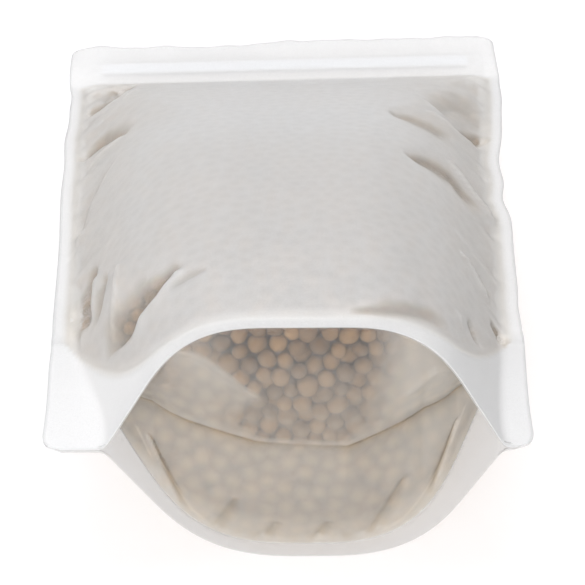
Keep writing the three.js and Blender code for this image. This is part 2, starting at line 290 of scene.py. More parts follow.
# Folds of the film: height in mm (below 0 is a valley), the widths of the flanks left and right of the
# line, how much haze the valley loses, and the line from its sharp tip, as places (u, v) on the blank
Fold = namedtuple("Fold", "height left right clear line")
# Whitened lines and facets: haze gained, the widths left and right of the line, and the line
Crease = namedtuple("Crease", "haze left right line")

FRONT_FOLDS = [
    # fan of pleats above the left ear
    Fold(-4.5, 1.6, 12.0, 0.34, [(-40, 46), (-53, 38), (-70, 36), (-86, 38)]),
    Fold(2.0, 4.0, 1.0, 0.0, [(-39, 44), (-53, 35.5), (-69, 33)]),
    Fold(2.6, 6.0, 5.0, 0.0, [(-71, 77), (-74, 56), (-81, 37)]),
    Fold(-2.4, 1.5, 3.5, 0.2, [(-83, 84), (-86, 70), (-90, 56)]),
    Fold(1.6, 2.5, 2.0, 0.0, [(-90, 92), (-93, 62)]),
    Fold(-3.6, 1.6, 11.0, 0.34, [(-92, 103), (-96, 82), (-96, 60)]),
    Fold(1.2, 1.0, 1.0, 0.0, [(-107, 73), (-98, 62), (-100, 53)]),
    Fold(-1.2, 1.5, 3.0, 0.1, [(-30, 39), (-46, 35)]),
    # left side
    Fold(-3.4, 10.0, 2.0, 0.3, [(-107, 272), (-95, 266), (-88, 268), (-82, 290), (-79, 307)]),
    Fold(0.8, 1.2, 1.2, 0.0, [(-80, 250), (-72, 281)]),
    Fold(-3.2, 8.0, 2.0, 0.26, [(-109, 218), (-92, 219), (-74, 207)]),
    Fold(1.4, 2.0, 4.0, 0.0, [(-77, 206), (-90, 206), (-104, 203)]),
    Fold(1.3, 4.0, 9.0, 0.0, [(-112, 122), (-98, 156), (-78, 188)]),
    Fold(-1.2, 4.0, 6.0, 0.04, [(-110, 140), (-96, 172), (-86, 190)]),
    # right side
    Fold(-2.8, 4.0, 8.0, 0.2, [(47, 208), (63, 206.5), (84, 207)]),
    Fold(1.8, 1.5, 3.0, 0.0, [(66, 222), (88, 218), (107, 225)]),
    Fold(-4.0, 16.0, 12.0, 0.12, [(72, 232), (90, 252), (106, 262)]),
    Fold(-2.4, 5.0, 2.0, 0.3, [(86, 222), (101, 230), (110, 241)]),
    Fold(-3.6, 4.5, 9.0, 0.3, [(51, 149), (66, 156), (79, 160), (98, 150)]),
    Fold(2.2, 2.5, 1.4, 0.0, [(74, 174), (92, 165), (112, 154)]),
    Fold(1.6, 1.5, 2.0, 0.0, [(79, 93), (89, 88.5), (99, 79)]),
    Fold(-1.7, 2.0, 1.2, 0.14, [(86, 94), (102, 89)]),
    Fold(-1.6, 2.0, 3.0, 0.36, [(97, 67), (105, 66), (111, 56)]),
    Fold(1.0, 1.5, 1.5, 0.0, [(72, 42), (75, 31)]),
    Fold(-1.5, 1.5, 2.2, 0.16, [(80, 47), (88, 38)]),
    Fold(-0.8, 5.0, 3.5, 0.2, [(22, 8), (34, 10), (47, 15.5), (66, 23)]),
]

BACK_FOLDS = [
    Fold(-2.0, 5.0, 9.0, 0.0, [(-112, 96), (-84, 70), (-60, 40)]),
    Fold(-1.6, 6.0, 4.0, 0.0, [(-112, 190), (-86, 176)]),
    Fold(-2.0, 8.0, 5.0, 0.0, [(112, 92), (84, 66), (58, 38)]),
    Fold(-1.6, 5.0, 7.0, 0.0, [(112, 210), (88, 190)]),
]
FOLD_ROUNDING = 1.0
# Shares of a fold's length at which its tip has risen, it has its full width and its end starts to fade
FOLD_TIP = 0.14
FOLD_WIDENED = 0.4
FOLD_FADE = 0.7
# Share of its width that a fold has at its tip, and how many widths away its clear valley fades
TIP_WIDTH = 0.4
VALLEY_RANGE = (0.3, 1.6)
# Shares of a crease's length at which it has come in and starts to fade
CREASE_TIP = 0.12
CREASE_FADE = 0.8

# Small waves of the film: (size, length along v, phase)
SEAM_PUCKERS = [(0.7, 17.0, 0.4), (0.5, 27.0, 2.1), (0.35, 11.0, 4.0)]
PUCKER_REACH = 13.0
# Places along the side seams that are pulled in: (v, depth, length)
LEFT_PULLS = [(62.0, 0.6, 10.0), (210.0, 2.0, 26.0), (262.0, 1.6, 18.0), (292.0, 3.0, 24.0)]
RIGHT_PULLS = [
    (88.0, 0.6, 9.0), (178.0, 3.2, 13.0), (212.0, 5.0, 26.0), (270.0, 2.0, 45.0), (345.0, 2.2, 45.0),
]
PULL_START = 60.0
# How far the loose flap's top edge stands above its straight line, at places u
FLAP_PLACES = [-115.0, -100.0, -87.0, -62.0, -49.0, -38.0, -24.0, -10.0, 3.0, 60.0, 115.0]
FLAP_RISES = [-1.6, -0.9, -2.4, -2.0, -3.1, -3.1, -2.6, -1.4, -0.5, -1.0, -0.3]
# Small waves of the flap: (size, length along u, phase)
FLAP_WAVES = [(0.25, 31.0, 1.9), (0.2, 17.0, 0.8)]
# Lines of the zip that show through the film: their height, width and distance from the zip's middle
ZIP_EMBOSS = 0.3
ZIP_EMBOSS_WIDTH = 0.9
ZIP_EMBOSS_SPREAD = 1.4
# Share of the side puckers that the back panel has
BACK_PUCKERS = 0.5

# Grids of the film
FRONT_CELL = 1.6
BACK_CELL = 2.4
GUSSET_CELL = 1.2
FLANK_ROWS = 22
MEMBRANE_ROWS = 108

# Gusset membrane: how far its fold stands out at places u, and how it bulges above and below the fold
RIDGE_PLACES = [-107.0, -95.0, -78.0, -60.0, -12.0, 22.0, 54.0, 75.0, 95.0, 107.0]
RIDGE_REACH = [0.0, -6.0, -9.5, -11.5, 2.5, 5.0, -9.5, -10.5, -6.0, 0.0]
RIDGE_MIDDLE = 5.0
RIDGE_BULGE = 2.0
BULGE_ENDS = (HALF_WIDTH - 10.0, 70.0)
# Lip of the fold: its size, its share at the middle and how far from there that grows, where it ends to
# the sides, and the shares of the membrane below the fold over which it comes in and fades
RIDGE_LIP = 2.2
LIP_MIDDLE = 0.3
LIP_MIDDLE_RANGE = (10.0, 30.0)
LIP_ENDS = (90.0, 60.0)
LIP_START = 0.03
LIP_FADE = 0.14
# Share of the membrane beside each seal in which its folds come in
FLAT_BY_SEAL = 0.05
MEMBRANE_LENGTH = 2.0 * (GUSSET_DEPTH - BOTTOM_SEAL)
FOLD_PLACE = MEMBRANE_LENGTH / 2
FOLD_EDGE = FOLD_PLACE - 0.4
# Folds and whitened creases of the gusset, at places (u, distance from the front seal)
GUSSET_FOLDS = [
    Fold(1.8, 8.0, 2.0, 0.0, [(-6, 39), (-15, 32), (-36, 12), (-52, 2)]),
    Fold(1.2, 6.0, 2.0, 0.0, [(44, 44), (60, 26), (76, 20)]),
    Fold(-1.6, 1.6, 3.0, 0.1, [(-20, 92), (-24, 102), (-30, 117)]),
    Fold(-1.4, 1.6, 3.0, 0.1, [(-4, 104), (-10, 117)]),
    Fold(-1.4, 1.6, 3.0, 0.1, [(16, 103), (10, 117)]),
    Fold(-1.8, 1.6, 4.0, 0.1, [(46, 88), (40, 98), (30, 117)]),
    Fold(-2.0, 1.6, 4.0, 0.24, [(-64, 84), (-56, 98), (-44, 115)]),
    Fold(-2.0, 4.0, 1.6, 0.24, [(76, 82), (68, 96), (58, 112)]),
]
GUSSET_CREASES = [
    Crease(0.16, 4.0, 0.6, [(-8, FOLD_EDGE), (-50, FOLD_EDGE), (-96, FOLD_EDGE)]),
    Crease(0.16, 0.6, 0.8, [(-16, FOLD_EDGE), (28, FOLD_EDGE)]),
    Crease(0.16, 0.6, 4.0, [(18, FOLD_EDGE), (60, FOLD_EDGE), (90, FOLD_EDGE)]),
    Crease(0.22, 1.2, 12.0, [(-8, 37), (-15, 32), (-36, 12), (-50, 4)]),
    Crease(0.2, 1.2, 1.2, [(-66, 84), (-58, 98), (-40, 112), (-28, 116)]),
    Crease(0.16, 1.2, 1.2, [(-72, 86), (-62, 102)]),
    Crease(0.2, 1.2, 1.2, [(76, 84), (64, 102), (46, 113), (34, 116)]),
    Crease(0.14, 1.2, 1.2, [(82, 80), (70, 98)]),
]

# Kibble: sizes in mm, and the lattice that the pellets start from
SEED = 11
PELLET_RADIUS = (3.2, 4.7)
SMALLEST_PELLET = 2.2
PELLET_SPACING = 7.6
FILL_END = SHOULDER - 4.0
FILL_END_SPACE = 2.0
WALL_END = FILL_END + 1.0
# Settling: only pellets within SETTLE_DEPTH of the film move, and none starts nearer to it than LEAST_DEPTH
# of the smallest radius. Two touch at PELLET_TOUCH of their radii, and PUSH_SHARE is how hard they push.
SETTLE_DEPTH = 19.0
LEAST_DEPTH = 0.4
PELLET_TOUCH = 0.96
PUSH_SHARE = 0.3
PELLET_ROUNDS = 45
NEIGHBOURS = 14
NEIGHBOUR_ROUNDS = 4
# How strongly the film draws a pellet, from how many radii away, and the space left behind the film
WALL_DRAW = 0.15
DRAW_REACH = 3.0
WALL_SPACE = 0.1
# Shapes of single pellets
PELLET_LUMPS = 5
LUMP_SIZE = 0.03
LUMP_WAVES = (1.6, 4.6)
PELLET_FLATNESS = (0.84, 1.0)
# Which pellets are drawn finely: at a panel, within this many radii, and near the gusset, in mm
AT_FILM = 1.4
NEAR_GUSSET = 12.0

# Borders of the filled body: ranges of the distance from the side edge, the height above the bottom seal
# and v. A panel's grey ends crisply, a little into the seals as in the photograph, and folds end softly.
Border = namedtuple("Border", "side bottom top")
GREY_BORDER = Border((SIDE_SEAL - 2.5, SIDE_SEAL + 0.5), (-2.5, -1.0), (FILL_END + 3.0, WALL_END))
SOFT_BORDER = Border((SIDE_SEAL - 1.0, SIDE_SEAL + 5.0), (-1.0, 6.0), (SHOULDER, SHOULDER - 6.0))

# Touch of the pellets on the film: how far it shows, and how far it lifts the film
CONTACT_REACH = 1.5
CONTACT_BULGE = 0.15

# Looks of the film: haze is its share of white scatter, dim turns that white grey as painted shade, and shade
# turns it brown as painted shade, painted shadow and painted brown light, and as the kibble's own brown where
# pellets touch.
# Pairs run from the first value to the second, or are the two ends of a range.
SEAL_HAZE = 0.64
EAR_HAZE = 0.8
BODY_HAZE = (0.6, 0.635)
BODY_TOUCH = (0.065, 0.045)
BODY_RISE = (20.0, 170.0)
EAR_RANGE = (30.0, 70.0)
EAR_BELOW_SEAL = (-1.0, -4.0)
RIDGE_WIDTH = 1.0
RIDGE_WHITENING = 0.1
RIDGE_COVER = 3.0
BORDER_HAZE = 0.14
# Painted shade along the border of the filled body and on the band by the arch
BORDER_SHADE = 0.05
# Painted shade in pressed valleys, brown like the kibble that the film presses on
PRESSED_SHADE = 0.9
# Painted shade, darker towards the sides of the body
SIDE_SHADE = 0.1
SIDE_SHADE_RANGE = (30.0, 95.0)
BESIDE_FILL_START = (GUSSET_DEPTH, GUSSET_DEPTH + 20.0)
BESIDE_FILL_END = (FILL_END + 3.0, FILL_END - 3.0)
# Painted grey shade beside the side seams, on the side seals and on the right ear
SEAM_RANGE = (SIDE_SEAL + 7.0, SIDE_SEAL + 1.0)
SEAM_DIM = 0.25
WELD_RANGE = (SIDE_SEAL + 1.0, SIDE_SEAL - 1.0)
WELD_DIM = 0.03
EAR_DIM = 0.06
BACK_RISE = (0.0, 6.0)
BACK_HAZE = 0.55
BACK_TOUCH = 0.04
FRONT_FLANK_HAZE = 0.42
SKIRT_HAZE = 0.13
# Painted warm light on the skirts
SKIRT_SHADE = 0.07
CLEAR_SHARE = (0.05, 0.42)
MEMBRANE_HAZE = (0.06, 0.215)
MEMBRANE_TOUCH = (0.02, 0.14)
# Painted brown light from the kibble behind the gusset
MEMBRANE_SHADE = 0.28
# Painted shadow of the front panel's arch on the top of the gusset
ARCH_SHADE = 0.4
ARCH_SHADE_RANGE = (0.06, 0.0)
# Painted shadow under the lip of the gusset's fold
LIP_SHADOW = 0.75
LIP_SHADOW_START = (0.2, 0.9)
LIP_SHADOW_REACH = 3.0
LIP_SHADOW_MIDDLE = 0.25
LIP_SHADOW_MIDDLE_RANGE = (8.0, 22.0)
LIP_SHADOW_ENDS = (96.0, 80.0)
# Hazy and clear patches of the gusset: haze gained, and ranges that bring it in from 0 to 1, over the
# place u, its distance from the middle or the share of the way from the front seal to the back seal
Patch = namedtuple("Patch", "haze ranges")
MEMBRANE_PATCHES = [
    Patch(0.13, [("share", 0.48, 0.55)]),
    Patch(-0.05, [("from_middle", 34.0, 14.0), ("share", 0.2, 0.35), ("share", 0.52, 0.48)]),
    Patch(0.14, [("u", -14.0, -34.0), ("share", 0.52, 0.4)]),
    Patch(0.43, [("u", 26.0, 50.0), ("share", 0.5, 0.44)]),
    Patch(0.14, [("u", 30.0, 60.0), ("share", 0.5, 0.6)]),
    Patch(0.14, [("from_middle", 66.0, 88.0)]),
    Patch(0.26, [("share", 0.82, 0.96)]),
]

# Colours
WHITE = (1.0, 1.0, 1.0, 1.0)
FILM_WHITE = (0.945, 0.945, 0.95, 1.0)
# White of the film over the kibble, greyer as painted shade of the dark kibble behind
BACKED_SHADED_WHITE = (0.91, 0.912, 0.915, 1.0)
# Grey of the painted shade that dim gives
PAINTED_SHADE_GREY = (0.45, 0.45, 0.455, 1.0)
SHADE_BROWN = (0.6, 0.475, 0.3, 1.0)
CLEAR_TINT = (0.97, 0.97, 0.97, 1.0)
SHADOW_TINT = (0.86, 0.86, 0.86, 1.0)
KIBBLE_TONES = [(0.2, (0.092, 0.046, 0.017, 1.0)), (0.8, (0.275, 0.15, 0.056, 1.0))]
ZIP_COLOUR = (0.78, 0.79, 0.81, 1.0)
# Spread of the noise in the film's frost, how it sways the haze, and the noise in the pellets' speckle
FROST_NOISE = (0.3, 0.7)
FROST_SWAY = (-0.1, 0.1)
SPECKLE_NOISE = (0.36, 0.64)
# The floor's lit colour is bluish and its glow near the pouch warm, so they add to white in full light and
# leave the pouch's shadow warm as painted warm light
FLOOR_PALE = (0.88, 0.87, 0.85, 1.0)
FLOOR_LIT = (0.35, 0.45, 0.56, 1.0)
FLOOR_PAINTED_WARM = (0.755, 0.65, 0.56, 1.0)

# Studio: the floor's half width and its drop below the pouch in mm, the distances in metres over which
# its glow turns from painted warm light to white, and the lamps with their place, aim, side in metres and
# watts
FLOOR_REACH = 6000.0
FLOOR_DROP = 0.2
FLOOR_WARM_RANGE = (0.2, 0.5)
FILL_LIGHT = 0.4
LAMPS = [
    ("softbox_top", (-0.05, 0.45, 1.1), (0.0, 0.0, 0.05), 0.9, 5.2),
    ("softbox_front", (-0.2, -1.15, 0.75), (0.0, -0.1, 0.05), 0.9, 9.4),
]

# Camera, found from the photograph, in degrees and millimetres
CAMERA_ELEVATION = 42.34
CAMERA_AZIMUTH = -0.49
CAMERA_TARGET = (2.8, TOP_EDGE_Y - 197.0, 0.0)
CAMERA_DISTANCE = 760.0
CAMERA_LENS = 102.1
CAMERA_SENSOR = 36.0


# Film surfaces

def grid_normals(grid):
    along = np.gradient(grid, axis=0)
    across = np.gradient(grid, axis=1)
    normal = np.cross(across, along)
    return normal / np.maximum(np.linalg.norm(normal, axis=-1, keepdims=True), 1e-9)


def panel_places(cell):
    """Blank places (u, v) of a panel's grid, rows from the bottom edge to the top edge."""
    rows = int(POUCH_LENGTH / cell)
    columns = int(POUCH_WIDTH / cell)
    v = np.repeat(np.linspace(0.0, POUCH_LENGTH, rows + 1)[:, None], columns + 1, axis=1)
    u = edge_width(v) * np.linspace(-1.0, 1.0, columns + 1)
    return u, v


def line_distance(u, v, line):
    """Distance to a line of places, which side of it a place is on, and how far along it."""
    points = np.array(line, dtype=float)
    lengths = np.linalg.norm(np.diff(points, axis=0), axis=1)
    before = np.append(0.0, np.cumsum(lengths))
    nearest = np.full_like(u, np.inf)
    on_right = np.zeros_like(u, dtype=bool)
    travel = np.zeros_like(u)
    for start, end, length, passed in zip(points[:-1], points[1:], lengths, before[:-1]):
        way_u, way_v = (end - start) / length
        du = u - start[0]
        dv = v - start[1]
        along = np.clip(du * way_u + dv * way_v, 0.0, length)
        away = np.hypot(du - along * way_u, dv - along * way_v)
        closer = away < nearest
        nearest = np.where(closer, away, nearest)
        on_right = np.where(closer, du * way_v > dv * way_u, on_right)
        travel = np.where(closer, (passed + along) / before[-1], travel)
    return nearest, on_right, travel


def fold_shape(u, v, fold):
    """How strong a fold is at each place, with its distance and flank width, narrow at the sharp tip."""
    away, on_right, travel = line_distance(u, v, fold.line)
    width = np.where(on_right, fold.right, fold.left)
    width = width * lerp(TIP_WIDTH, 1.0, smooth(0.0, FOLD_WIDENED, travel))
    strength = smooth(0.0, FOLD_TIP, travel) * smooth(1.0, FOLD_FADE, travel)
    return strength, away, width


def fold_heights(u, v, folds):
    total = np.zeros_like(u)
    for fold in folds:
        strength, away, width = fold_shape(u, v, fold)
        rounded = np.sqrt(away**2 + FOLD_ROUNDING**2) - FOLD_ROUNDING
        total += fold.height * strength * np.exp(-rounded / width)
    return total


def fold_clearness(u, v, folds):
    """Haze that the film loses where a valley presses it on the kibble; the same amount also sets painted
    shade there, brown like the kibble behind.
    """
    total = np.zeros_like(u)
    for fold in folds:
        strength, away, width = fold_shape(u, v, fold)
        total += fold.clear * np.sqrt(strength) * (1.0 - smooth(*VALLEY_RANGE, away / width))
    return total


def crease_haze(u, v, creases):
    """Haze gained along creases, which fade at their ends."""
    total = np.zeros_like(u)
    for crease in creases:
        away, on_right, travel = line_distance(u, v, crease.line)
        width = np.where(on_right, crease.right, crease.left)
        fade = smooth(0.0, CREASE_TIP, travel) * smooth(1.0, CREASE_FADE, travel)
        total += crease.haze * fade * np.exp(-((away / width) ** 2))
    return total


def within(border, u, v):
    """1 over the filled body and 0 on the seals and the flap, with the given border between them."""
    from_side = smooth(*border.side, HALF_WIDTH - np.abs(u))
    from_bottom = smooth(*border.bottom, v - seal_height(u))
    from_zip = smooth(*border.top, v)
    return from_side * from_bottom * from_zip


def membrane_haze(u, share):
    """The gusset is clearest right under the arch, and hazy where it stands off the kibble."""
    measures = {"u": u, "from_middle": np.abs(u), "share": share}
    haze = lerp(*MEMBRANE_HAZE, smooth(*CLEAR_SHARE, share))
    for patch in MEMBRANE_PATCHES:
        gained = patch.haze
        for measure, start, end in patch.ranges:
            gained = gained * smooth(start, end, measures[measure])
        haze += gained
    return haze + crease_haze(u, share * MEMBRANE_LENGTH, GUSSET_CREASES)


def membrane_shade(u, share):
    """Painted brown light from the kibble behind the gusset, a painted shadow under the front panel's arch,
    and a painted shadow just under the lip of its fold.

    The lip's shadow is weak at the middle of the fold and ends short of the side seals."""
    below = share * MEMBRANE_LENGTH - FOLD_PLACE
    shadow = smooth(*LIP_SHADOW_START, below) * np.exp(-np.maximum(below, 0.0) / LIP_SHADOW_REACH)
    along_fold = lerp(LIP_SHADOW_MIDDLE, 1.0, smooth(*LIP_SHADOW_MIDDLE_RANGE, np.abs(u - RIDGE_MIDDLE)))
    base = MEMBRANE_SHADE + ARCH_SHADE * smooth(*ARCH_SHADE_RANGE, share)
    return base + LIP_SHADOW * shadow * along_fold * smooth(*LIP_SHADOW_ENDS, np.abs(u))


def seam_puckers(u, v):
    """Small waves beside the side seals, which differ from left to right and fade inwards."""
    inward = HALF_WIDTH - np.abs(u) - SIDE_SEAL
    wave = 0
    for size, length, phase in SEAM_PUCKERS:
        wave = wave + size * np.sin(math.tau * v / length + phase + np.sign(u))
    return wave * np.exp(-np.maximum(inward, 0.0) / PUCKER_REACH)


def film_sway(points, u, v):
    """Moves that both panels share: pulled-in seams and a wavy flap."""
    moved = points.copy()
    weight = smooth(PULL_START, HALF_WIDTH, np.abs(u))
    for side, pulls in ((-1.0, LEFT_PULLS), (1.0, RIGHT_PULLS)):
        pull = sum(depth * np.exp(-(((v - place) / length) ** 2)) for place, depth, length in pulls)
        moved[..., 0] -= np.where(u * side > 0, side * pull * weight, 0.0)
    rise = np.interp(u, FLAP_PLACES, FLAP_RISES)
    for size, length, phase in FLAP_WAVES:
        rise = rise + size * np.sin(math.tau * u / length + phase)
    moved[..., 2] += rise * smooth(ZIP_LINE + ZIP_BAND / 2, POUCH_LENGTH, v)
    return moved


def zip_emboss(v):
    """The zip's ribs and band edges show through the film as fine lines."""
    places = (-ZIP_BAND / 2, -ZIP_EMBOSS_SPREAD, ZIP_EMBOSS_SPREAD, ZIP_BAND / 2)
    return ZIP_EMBOSS * sum(np.exp(-(((v - (ZIP_LINE + place)) / ZIP_EMBOSS_WIDTH) ** 2)) for place in places)


front_panel = Panel(front_height, 1)
back_panel = Panel(back_height, -1)


def front_inner(u, v):
    """The front panel's inner face with its folds, on a grid of places."""
    base = film_sway(front_panel.point(u, v), u, v)
    height = (fold_heights(u, v, FRONT_FOLDS) + seam_puckers(u, v)) * within(SOFT_BORDER, u, v)
    return base + grid_normals(base) * (height + zip_emboss(v))[..., None]


def back_inner(u, v):
    """The back panel's inner face with its folds, kept above the floor."""
    base = film_sway(back_panel.point(u, v), u, v)
    height = fold_heights(u, v, BACK_FOLDS) + BACK_PUCKERS * seam_puckers(u, v)
    lifted = base + grid_normals(base) * -(height * within(SOFT_BORDER, u, v))[..., None]
    lifted[..., 2] = np.maximum(lifted[..., 2], FILM)
    return lifted


def gusset_places():
    """Column places u of the gusset, and the flank grid (u, v) between the bottom edge and the seal."""
    columns = np.linspace(-1.0, 1.0, int(POUCH_WIDTH / GUSSET_CELL) + 1)
    v = np.linspace(0.0, 1.0, FLANK_ROWS + 1)[:, None] * seal_height(columns * HALF_WIDTH)
    return columns * HALF_WIDTH, edge_width(v) * columns, v


def membrane_profile(share, u):
    """How far out the membrane stands between the front seal (0) and the back seal (1)."""
    reach = np.interp(u, RIDGE_PLACES, RIDGE_REACH)
    peak = 1.0 - np.abs(2.0 * share - 1.0)
    bulge = RIDGE_BULGE * np.sin(math.tau * share) ** 2 * smooth(*BULGE_ENDS, np.abs(u))
    below = np.maximum(share - 0.5, 0.0)
    lip = RIDGE_LIP * lerp(LIP_MIDDLE, 1.0, smooth(*LIP_MIDDLE_RANGE, np.abs(u - RIDGE_MIDDLE)))
    lip *= smooth(*LIP_ENDS, np.abs(u))
    drop = lip * smooth(0.0, LIP_START, below) * np.exp(-below / LIP_FADE)
    return reach * peak + bulge - drop


def gusset_grid():
    """The gusset runs up the front skirt, across between the two seals and down the back skirt.

    Returns its points, with each point's place u and its share of the way across the membrane."""
    columns, u, v = gusset_places()
    front_flank = front_inner(u, v)
    front_flank = front_flank - grid_normals(front_flank) * CLEARANCE
    back_flank = back_inner(u, v)
    back_flank = back_flank + grid_normals(back_flank) * CLEARANCE
    share = np.linspace(0.0, 1.0, MEMBRANE_ROWS + 1)[1:-1, None]
    membrane = lerp(front_flank[-1], back_flank[-1], share[..., None])
    place = share * MEMBRANE_LENGTH
    wide_u, wide_place = (part.copy() for part in np.broadcast_arrays(columns, place))
    folds = fold_heights(wide_u, wide_place, GUSSET_FOLDS)
    folds = folds * smooth(0.0, FLAT_BY_SEAL, share) * smooth(1.0, 1.0 - FLAT_BY_SEAL, share)
    membrane[..., 1] -= membrane_profile(share, columns) + folds
    grid = np.concatenate([front_flank, membrane, back_flank[::-1]])
    grid_u = np.concatenate([u, wide_u, u[::-1]])
    shares = np.concatenate([np.zeros(len(u)), share[:, 0], np.ones(len(u))])
    return grid, grid_u, np.broadcast_to(shares[:, None], grid_u.shape)


# Kibble packing

def holds_kibble(u, v):
    return (v > seal_height(u)) & (v < WALL_END) & (np.abs(u) < HALF_WIDTH - SIDE_SEAL)


def tree_of(points):
    tree = KDTree(len(points))
    for index, point in enumerate(points):
        tree.insert(point, index)
    tree.balance()
    return tree


def wall_of(grid, mask, way):
    """The film's points round the kibble in a search tree, and their inward normals."""
    return tree_of(grid[mask]), grid[mask], grid_normals(grid)[mask] * way


def meet_walls(centres, radii, walls):
    """How far each sphere is behind the nearest wall, which wall that is, and the move that seats it.

    A sphere is pushed off a wall that it passes, and drawn towards one within DRAW_REACH radii."""
    distance = np.full(len(centres), np.inf)
    kind = np.zeros(len(centres), dtype=int)
    move = np.zeros_like(centres)
    for number, (tree, points, normals) in enumerate(walls):
        nearest = np.array([tree.find(centre)[1] for centre in centres])
        depth = ((centres - points[nearest]) * normals[nearest]).sum(axis=1)
        spare = depth - radii
        drawn = np.where(spare < DRAW_REACH * radii, WALL_DRAW * np.minimum(spare, radii), 0.0)
        step = -np.where(spare < 0.0, spare, drawn)
        move += normals[nearest] * step[:, None]
        kind = np.where(depth < distance, number, kind)
        distance = np.minimum(depth, distance)
    return distance, kind, move


def pack_pellets(walls):
    """Spheres pushed apart until they hardly overlap, and kept behind the film.

    One that still passes a wall is made smaller, and the smallest are left out. Returns the centres, the
    radii, the distance to the nearest wall and the number of that wall."""
    rng = np.random.default_rng(SEED)
    low = np.min([points.min(axis=0) for _, points, _ in walls], axis=0)
    high = np.max([points.max(axis=0) for _, points, _ in walls], axis=0)
    axes = [np.arange(low[k], high[k], PELLET_SPACING) for k in range(3)]
    centres = np.stack(np.meshgrid(*axes, indexing="ij"), axis=-1).reshape(-1, 3)
    centres += rng.uniform(-0.5, 0.5, centres.shape) * PELLET_SPACING
    radii = rng.uniform(*PELLET_RADIUS, len(centres))
    distance, kind, _ = meet_walls(centres, radii, walls)
    kept = distance > PELLET_RADIUS[0] * LEAST_DEPTH
    centres, radii, distance, kind = centres[kept], radii[kept], distance[kept], kind[kept]
    loose = np.flatnonzero(distance < SETTLE_DEPTH)
    size = radii[loose]
    for turn in range(PELLET_ROUNDS):
        if turn % NEIGHBOUR_ROUNDS == 0:
            tree = tree_of(centres)
            found = [tree.find_n(centre, NEIGHBOURS) for centre in centres[loose]]
            near = np.array([[index for _, index, _ in each] for each in found])
        apart = centres[loose][:, None] - centres[near]
        gap = np.maximum(np.linalg.norm(apart, axis=-1), 1e-6)
        wanted = (size[:, None] + radii[near]) * PELLET_TOUCH
        push = np.where(near == loose[:, None], 0.0, np.maximum(wanted - gap, 0.0))
        centres[loose] += (apart / gap[..., None] * push[..., None]).sum(axis=1) * PUSH_SHARE
        distance[loose], kind[loose], move = meet_walls(centres[loose], size, walls)
        centres[loose] += move
    distance[loose], kind[loose], _ = meet_walls(centres[loose], size, walls)
    radii = np.minimum(radii, distance - WALL_SPACE)
    fits = (centres[:, 1] + radii < high[1] - FILL_END_SPACE) & (radii > SMALLEST_PELLET)
    return centres[fits], radii[fits], distance[fits], kind[fits]


def film_contact(grid, centres, radii):
    """1 where a pellet touches the film, falling to 0 where there is none behind it."""
    tree = tree_of(centres)
    flat = grid.reshape(-1, 3)
    found = [tree.find(point) for point in flat]
    nearest = np.array([index for _, index, _ in found])
    gap = np.array([distance for _, _, distance in found]) - radii[nearest]
    return np.exp(-np.maximum(gap, 0.0) / CONTACT_REACH).reshape(grid.shape[:2])


# Meshes

def mesh_object(name, points, faces, smooth_faces, attributes):
    """A mesh whose first faces are smooth, in the given number."""
    mesh = bpy.data.meshes.new(name)
    mesh.from_pydata((points / MILLIMETRES).tolist(), [], faces.tolist())
    mesh.polygons.foreach_set("use_smooth", np.arange(len(faces)) < smooth_faces)
    for key, values in attributes.items():
        layer = mesh.attributes.new(key, "FLOAT", "POINT")
        layer.data.foreach_set("value", values.astype(np.float32).reshape(-1))
    mesh.update()
    made = bpy.data.objects.new(name, mesh)
    bpy.context.scene.collection.objects.link(made)
    return made


def shell_object(name, upper, lower, looks):
    """A closed sheet between two grids, joined by a flat rim round their border."""
    rows, columns = upper.shape[:2]
    count = rows * columns
    index = np.arange(count).reshape(rows, columns)
    corners = [index[:-1, :-1], index[:-1, 1:], index[1:, 1:], index[1:, :-1]]
    quads = np.stack(corners, axis=-1).reshape(-1, 4)
    border = np.concatenate([index[0, :-1], index[:-1, -1], index[-1, :0:-1], index[:0:-1, 0]])
    ahead = np.roll(border, -1)
    rim = np.stack([border, border + count, ahead + count, ahead], axis=-1)
    faces = np.concatenate([quads, quads[:, ::-1] + count, rim])
    points = np.concatenate([upper.reshape(-1, 3), lower.reshape(-1, 3)])
    both_faces = {key: np.tile(values.reshape(-1), 2) for key, values in looks.items()}
    return mesh_object(name, points, faces, 2 * len(quads), both_faces)


def unit_ball(subdivisions):
    ball = bmesh.new()
    bmesh.ops.create_icosphere(ball, subdivisions=subdivisions, radius=1.0)
    ball.verts.index_update()
    points = np.array([vertex.co[:] for vertex in ball.verts])
    triangles = np.array([[vertex.index for vertex in face.verts] for face in ball.faces])
    ball.free()
    return points, triangles


def random_turns(count, rng):
    """Rotation matrices from random unit quaternions."""
    quaternion = rng.normal(size=(count, 4))
    w, x, y, z = (quaternion / np.linalg.norm(quaternion, axis=1, keepdims=True)).T
    rows = [
        [1 - 2 * (y * y + z * z), 2 * (x * y - z * w), 2 * (x * z + y * w)],
        [2 * (x * y + z * w), 1 - 2 * (x * x + z * z), 2 * (y * z - x * w)],
        [2 * (x * z - y * w), 2 * (y * z + x * w), 1 - 2 * (x * x + y * y)],
    ]
    return np.array(rows).transpose(2, 0, 1)


